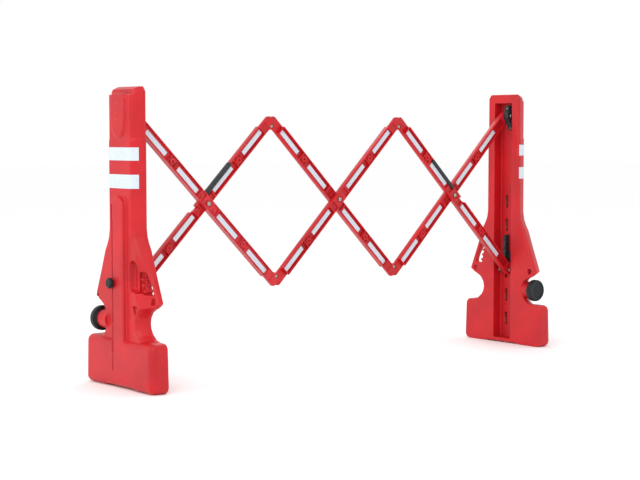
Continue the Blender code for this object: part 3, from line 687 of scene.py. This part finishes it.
def lock_knob(label, side):
    """Round knob with scalloped edge on its stud."""
    face = INNER_X + BASE_DEEP + 0.0022
    scallops, count = 8, 72
    bm = bmesh.new()
    turned(bm, (0, SLOT_Y, KNOB_Z), (1, 0, 0), [(KNOB_LOW[0], 0.0031), (face + 0.001, 0.0031)], 16)
    rings = []
    for along, radius, wave in ((0, 0.0150, 0.3), (0.0012, 0.0168, 1), (0.0100, 0.0168, 1),
                                (0.0135, 0.0155, 0.7), (0.0150, 0.0125, 0.2), (0.0155, 0.0080, 0),
                                (0.0148, 0.0060, 0)):
        ring = []
        for i in range(count):
            a = 2 * math.pi * i / count
            r = radius + 0.0012 * wave * math.cos(scallops * a)
            ring.append((face + along, SLOT_Y + r * math.cos(a), KNOB_Z + r * math.sin(a)))
        rings.append(ring)
    loft(bm, rings)
    obj = to_object(bm, "scalloped_knob_" + label, side)
    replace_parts(dress(obj, BLACK, "knob_" + label[0]), "lock_knob_" + label)


def slider(label, side):
    """Slim block in the channel: a small lug at the arm's pivot, a tall back and a thin foot at the wall."""
    _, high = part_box("slider_right")
    pivot = JOINTS["lower_right_end"]
    near, far, wall, top = 0.0015, 0.0150, high[0], high[2] - 0.002
    foot_half = 0.019
    bm = bmesh.new()
    outline = arc(pivot.x, pivot.z, 0.0125, 180, 360, 14)
    outline += [(wall, pivot.z + 0.004), (wall, top), (pivot.x + 0.008, top), (pivot.x + 0.001, top - 0.012),
                (pivot.x - 0.001, pivot.z + 0.030), (pivot.x - 0.0125, pivot.z + 0.012)]
    loft(bm, [[(x, y, z) for x, z in outline] for y in (near, far)])
    body = to_object(bm, "slim_slider_" + label, side)
    foot = box(bmesh.new(), (wall - 0.0034, wall - 0.0004), (-0.0370, 0.0060),
               (KNOB_Z - foot_half, KNOB_Z + foot_half))
    boss = turned(bmesh.new(), (pivot.x, 0, pivot.z), (0, 1, 0),
                  [(near, 0.0105), (high[1] - 0.001, 0.0105), (high[1], 0.0095)])
    bore = turned(bmesh.new(), (pivot.x, 0, pivot.z), (0, 1, 0), [(-0.01, 0.0045), (0.04, 0.0045)], 24)
    thread = turned(bmesh.new(), (0, SLOT_Y, KNOB_Z), (1, 0, 0),
                    [(wall - 0.02, STUD_BORE_R), (wall + 0.02, STUD_BORE_R)], 16)
    steps = ((foot, "UNION"), (boss, "UNION"), (bore, "DIFFERENCE"), (thread, "DIFFERENCE"))
    combine(body, [(to_object(bm, "tool", side), operation) for bm, operation in steps])
    bevelled(body, 0.0006)
    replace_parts(dress(body, BLACK, "slide_" + label[0], False), "slider_" + label)


grip("left", "arm_b", CROSS_X[0], 1, LAYER)
grip("right", "arm_e", CROSS_X[2], -1, -LAYER)
for side, label in ((1, "right"), (-1, "left")):
    filler_cap(label, side)
    lock_knob(label, side)
    slider(label, side)

for entry in frame["record"]["subparts"]:
    node = bpy.data.objects.get(entry["node"])
    if node and node.type == "MESH":
        node.data.materials.clear()
        node.data.materials.append(BY_SLOT[entry["material_slot"]])


# ---------------------------------------------------------------- floor, light and camera

def floor():
    bm = bmesh.new()
    bmesh.ops.create_grid(bm, x_segments=1, y_segments=1, size=30)
    obj = to_object(bm, "studio_floor")
    material, _, _ = new_material("studio_white", (0.99, 0.99, 0.99), 0.9)
    obj.data.materials.append(material)


def white_world():
    scene = bpy.context.scene
    if not scene.world:
        scene.world = bpy.data.worlds.new("studio")
    scene.world.use_nodes = True
    background = scene.world.node_tree.nodes["Background"]
    background.inputs["Color"].default_value = (1.0, 1.0, 1.0, 1.0)
    background.inputs["Strength"].default_value = 1.0


def softbox(name, place, size, power):
    """Rectangular lamp that points at the middle of the barrier."""
    light = bpy.data.lights.new(name, "AREA")
    light.shape = "RECTANGLE"
    light.size, light.size_y = size
    light.energy = power
    obj = bpy.data.objects.new(name, light)
    obj.location = place
    obj.rotation_euler = (Vector((0, 0, 0.5)) - Vector(place)).to_track_quat("-Z", "Y").to_euler()
    bpy.context.scene.collection.objects.link(obj)


def camera():
    """Camera to the left of the front, a little above level."""
    data = bpy.data.cameras.new("view")
    data.lens = 87.2
    data.sensor_width = 36.0
    obj = bpy.data.objects.new("view", data)
    obj.location = (-3.628, -4.393, 0.849)
    azimuth, pitch = math.radians(38.97), math.radians(3.97)
    level = math.cos(pitch)
    look = Vector((math.sin(azimuth) * level, math.cos(azimuth) * level, -math.sin(pitch)))
    obj.rotation_euler = look.to_track_quat("-Z", "Y").to_euler()
    bpy.context.scene.collection.objects.link(obj)
    bpy.context.scene.camera = obj


floor()
bpy.context.scene.view_settings.view_transform = "Standard"
white_world()
softbox("key", (-3.5, -3.0, 3.6), (2.6, 2.6), 70)
softbox("side", (-4.5, 1.5, 1.6), (2.0, 2.0), 30)
softbox("rim", (2.5, 3.0, 3.2), (2.2, 2.2), 25)
camera()
